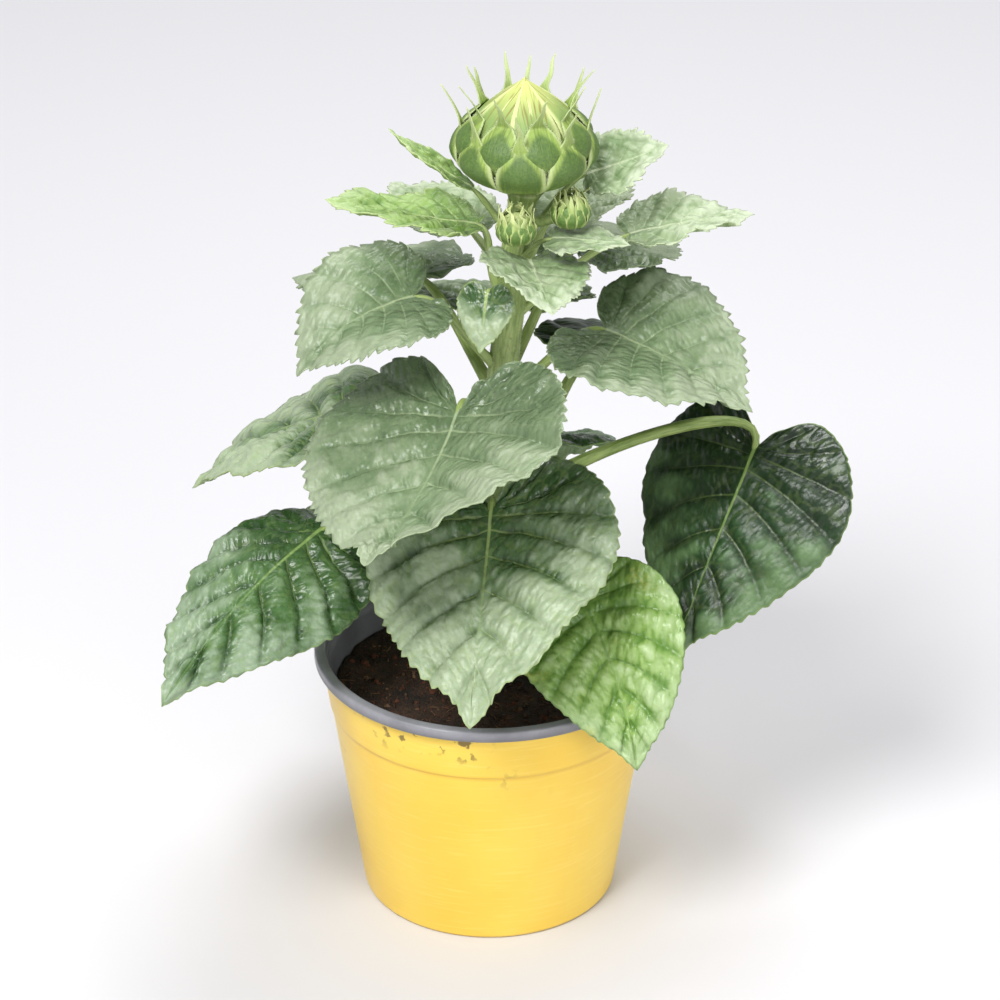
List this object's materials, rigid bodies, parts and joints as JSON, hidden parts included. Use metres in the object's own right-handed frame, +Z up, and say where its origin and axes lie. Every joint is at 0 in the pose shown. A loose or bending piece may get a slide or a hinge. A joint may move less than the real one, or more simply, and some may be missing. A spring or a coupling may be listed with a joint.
{
  "type": "potted sunflower plant",
  "caption": "Young sunflower in a round pot of soil: leaning stem, broad heart-shaped leaves on stalks, and a large closed bud ringed with pointed bracts.",
  "frame": {"origin": "middle of the flat underside of the pot", "axes": "+Z up, -Y towards the front that the picture shows, +X to the plant's right in that view"},
  "size_m": [0.2457, 0.2275, 0.3263],
  "materials": {
    "pot": "satin golden yellow",
    "pot_lining": "satin dark grey",
    "soil": "crumbly, dark brown",
    "stem": "hairy, pale green",
    "old_leaf": "veined, half glossy green",
    "young_leaf": "crinkled, matte pale green",
    "bud": "matte yellow-green"
  },
  "bodies": {
    "root": {"pot": "pot", "pot_lining": "pot_lining", "soil": "soil", "stem": "stem", "leaf_01": "old_leaf", "leaf_02": "old_leaf", "leaf_03": "old_leaf", "leaf_04": "old_leaf", "leaf_05": "old_leaf", "leaf_06": "old_leaf", "leaf_07": "old_leaf", "leaf_08": "old_leaf", "leaf_09": "old_leaf", "leaf_10": "old_leaf", "leaf_11": "old_leaf", "leaf_12": "old_leaf", "leaf_13": "old_leaf", "leaf_14": "young_leaf", "leaf_15": "young_leaf", "leaf_16": "young_leaf", "leaf_17": "young_leaf", "leaf_18": "young_leaf", "leaf_19": "young_leaf", "leaf_20": "young_leaf", "leaf_21": "young_leaf", "leaf_22": "young_leaf", "leaf_23": "young_leaf", "leaf_24": "young_leaf", "side_bud_left": "young_leaf", "side_bud_right": "young_leaf", "bud": "bud"}
  },
  "joints": []
}
